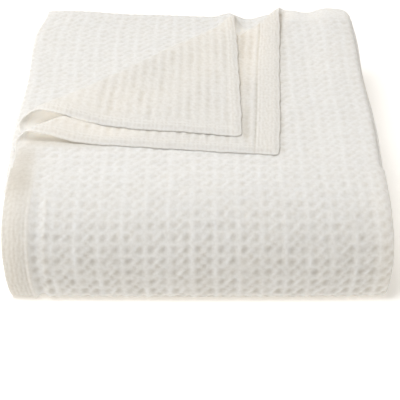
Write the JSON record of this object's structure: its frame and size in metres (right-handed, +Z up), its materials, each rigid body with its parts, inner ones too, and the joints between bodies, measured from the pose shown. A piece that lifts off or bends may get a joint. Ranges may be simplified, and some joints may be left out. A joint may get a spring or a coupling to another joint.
{
  "type": "folded waffle weave cotton blanket",
  "caption": "Waffle weave cotton blanket folded into a thick square pad, with a soft rolled front and its loose corners turned back on top.",
  "frame": {"origin": "centre of the folded pad's outline, on the surface that it rests on", "axes": "+Z up, -Y towards the rolled front, +Y towards the folds at the back, +X to the right of someone who faces the front"},
  "size_m": [0.3896, 0.4346, 0.1175],
  "materials": {
    "cotton": "matte waffle weave"
  },
  "bodies": {
    "root": {"blanket": "cotton"}
  },
  "joints": []
}
